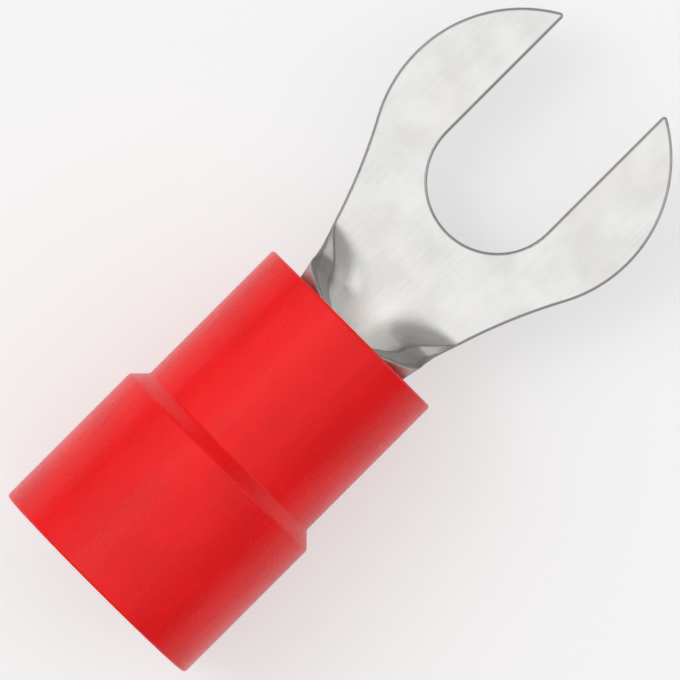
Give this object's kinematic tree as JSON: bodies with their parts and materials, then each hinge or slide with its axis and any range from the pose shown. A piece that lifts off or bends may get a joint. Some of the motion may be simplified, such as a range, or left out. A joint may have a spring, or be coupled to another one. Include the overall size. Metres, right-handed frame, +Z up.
{
  "type": "fork cable lug",
  "caption": "Insulated crimp cable lug: a stepped red sleeve over a rolled barrel, and a flat open fork that slips under a terminal screw.",
  "frame": {"origin": "centre of the stud in the fork's slot, on the underside of the fork", "axes": "+X along the lug's axis from the cable end to the prong tips, +Z up out of the fork's top face, +Y across the fork"},
  "size_m": [0.0223, 0.0092, 0.0076],
  "materials": {
    "tinned_copper": "satin",
    "grip_metal": "satin",
    "red_vinyl": "satin"
  },
  "bodies": {
    "root": {"fork_terminal": "tinned_copper", "grip_sleeve": "grip_metal", "insulating_sleeve": "red_vinyl"}
  },
  "joints": []
}
